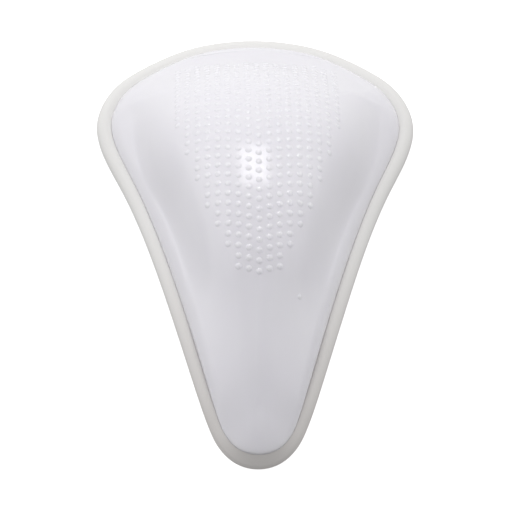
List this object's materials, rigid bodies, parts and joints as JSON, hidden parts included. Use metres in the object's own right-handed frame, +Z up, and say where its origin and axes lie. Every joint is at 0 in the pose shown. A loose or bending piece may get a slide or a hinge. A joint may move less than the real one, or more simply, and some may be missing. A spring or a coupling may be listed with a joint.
{
  "type": "groin guard",
  "caption": "Moulded groin guard: a hollow domed plastic cup, broad at the top and narrow at the tip, with a raised dot field and a soft rubber bead round its edge.",
  "frame": {"origin": "middle of the bounding box in plan, on the plane the guard lies on with its hollow side down", "axes": "+Z up out of the dome, +Y toward the broad top edge, -Y toward the narrow tip, X across"},
  "size_m": [0.0996, 0.151, 0.0424],
  "materials": {
    "shell": "satin moulded polypropylene",
    "edge_rim": "matte thermoplastic rubber"
  },
  "bodies": {
    "root": {"shell": "shell", "edge_rim": "edge_rim"}
  },
  "joints": []
}
